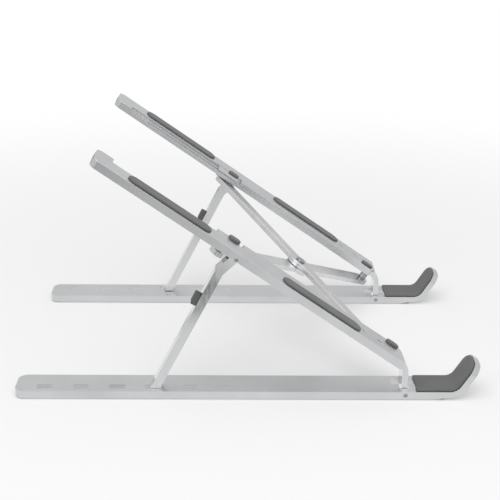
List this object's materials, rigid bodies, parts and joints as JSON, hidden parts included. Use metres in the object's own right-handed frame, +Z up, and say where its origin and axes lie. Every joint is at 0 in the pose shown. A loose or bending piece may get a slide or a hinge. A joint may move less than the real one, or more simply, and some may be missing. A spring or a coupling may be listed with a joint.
{
  "type": "laptop stand",
  "caption": "Folding laptop stand with two slotted base arms, hooked fronts, hinged upper arms on struts, and crossed bars between the sides.",
  "frame": {"origin": "middle of the stand's footprint, on the surface it stands on", "axes": "+X toward the hooks at the front, +Y to the right side's outer edge, +Z up"},
  "size_m": [0.251, 0.156, 0.1339],
  "materials": {
    "arm_finish": "bead blasted and clear anodised, silver",
    "strut_finish": "polished and clear anodised, silver",
    "bar_finish": "pressed sheet, clear anodised",
    "slider_finish": "moulded acetal, grey",
    "pin_steel": "turned steel rivets and pins",
    "grip_pad": "moulded silicone, mid grey, satin",
    "foot_rubber": "moulded rubber, dark grey"
  },
  "bodies": {
    "left_base": {"left_base_arm": "arm_finish", "left_hook_pad": "grip_pad", "left_feet": "foot_rubber", "left_hinge_pin": "pin_steel"},
    "left_arm": {"left_upper_arm": "arm_finish", "left_hinge_tongue": "strut_finish", "left_tongue_rivets": "pin_steel", "left_arm_pads": "grip_pad", "left_strut_pin": "pin_steel", "left_front_rivet": "pin_steel"},
    "left_prop": {"left_strut": "strut_finish", "left_strut_bumper": "foot_rubber"},
    "upper_bar": {"upper_cross_bar": "bar_finish", "hub_spacer": "pin_steel", "hub_rivet": "pin_steel"},
    "lower_bar": {"lower_cross_bar": "bar_finish"},
    "left_slide": {"left_slider": "slider_finish", "left_slider_pad": "grip_pad", "left_slider_rivet": "pin_steel"},
    "right_slide": {"right_slider": "slider_finish", "right_slider_pad": "grip_pad", "right_slider_rivet": "pin_steel"},
    "right_arm": {"right_upper_arm": "arm_finish", "right_hinge_tongue": "strut_finish", "right_tongue_rivets": "pin_steel", "right_arm_pads": "grip_pad", "right_strut_pin": "pin_steel", "right_front_rivet": "pin_steel"},
    "right_prop": {"right_strut": "strut_finish", "right_strut_bumper": "foot_rubber"},
    "right_base": {"right_base_arm": "arm_finish", "right_hook_pad": "grip_pad", "right_feet": "foot_rubber", "right_hinge_pin": "pin_steel"}
  },
  "joints": [
    {"name": "arm_tilt", "type": "hinge", "parent": "left_base", "child": "left_arm", "pos_m": [0.085, -0.078, 0.003], "axis": [0, 1, 0], "range_deg": [0, 45]},
    {"name": "cross_fold", "type": "hinge", "parent": "left_arm", "child": "upper_bar", "pos_m": [0.07745, -0.06165, 0.02023], "axis": [0.5678, 0, 0.8232], "range_deg": [0, 44.6]},
    {"name": "hub", "type": "hinge", "parent": "upper_bar", "child": "lower_bar", "pos_m": [0.03176, 0, 0.05175], "axis": [0.5678, 0, 0.8232], "range_deg": [-89.4, 0]},
    {"name": "right_front_pivot", "type": "hinge", "parent": "lower_bar", "child": "right_arm", "pos_m": [0.07745, 0.06165, 0.02023], "axis": [0.5678, 0, 0.8232], "range_deg": [0, 44.7]},
    {"name": "left_slide_pivot", "type": "hinge", "parent": "lower_bar", "child": "left_slide", "pos_m": [-0.01392, -0.06165, 0.08326], "axis": [0.5678, 0, 0.8232], "range_deg": [0, 44.7]},
    {"name": "right_slide_pivot", "type": "hinge", "parent": "upper_bar", "child": "right_slide", "pos_m": [-0.01392, 0.06165, 0.08326], "axis": [0.5678, 0, 0.8232], "range_deg": [-44.7, 0]},
    {"name": "right_hinge", "type": "hinge", "parent": "right_arm", "child": "right_base", "pos_m": [0.085, 0.078, 0.003], "axis": [0, 1, 0], "range_deg": [-45, 0]},
    {"name": "left_strut_pivot", "type": "hinge", "parent": "left_arm", "child": "left_prop", "pos_m": [-0.0069, -0.078, 0.08024], "axis": [0, 1, 0], "range_deg": [-67.5, 0]},
    {"name": "right_strut_pivot", "type": "hinge", "parent": "right_arm", "child": "right_prop", "pos_m": [-0.0069, 0.078, 0.08024], "axis": [0, 1, 0], "range_deg": [-67.5, 0]}
  ],
  "couplings": [
    {"joint": "hub", "follows": "cross_fold", "ratio": -2},
    {"joint": "right_front_pivot", "follows": "cross_fold", "ratio": 1},
    {"joint": "left_slide_pivot", "follows": "cross_fold", "ratio": 1},
    {"joint": "right_slide_pivot", "follows": "cross_fold", "ratio": -1},
    {"joint": "right_hinge", "follows": "arm_tilt", "ratio": -1},
    {"joint": "left_strut_pivot", "follows": "arm_tilt", "ratio": -1.5},
    {"joint": "right_strut_pivot", "follows": "arm_tilt", "ratio": -1.5}
  ]
}
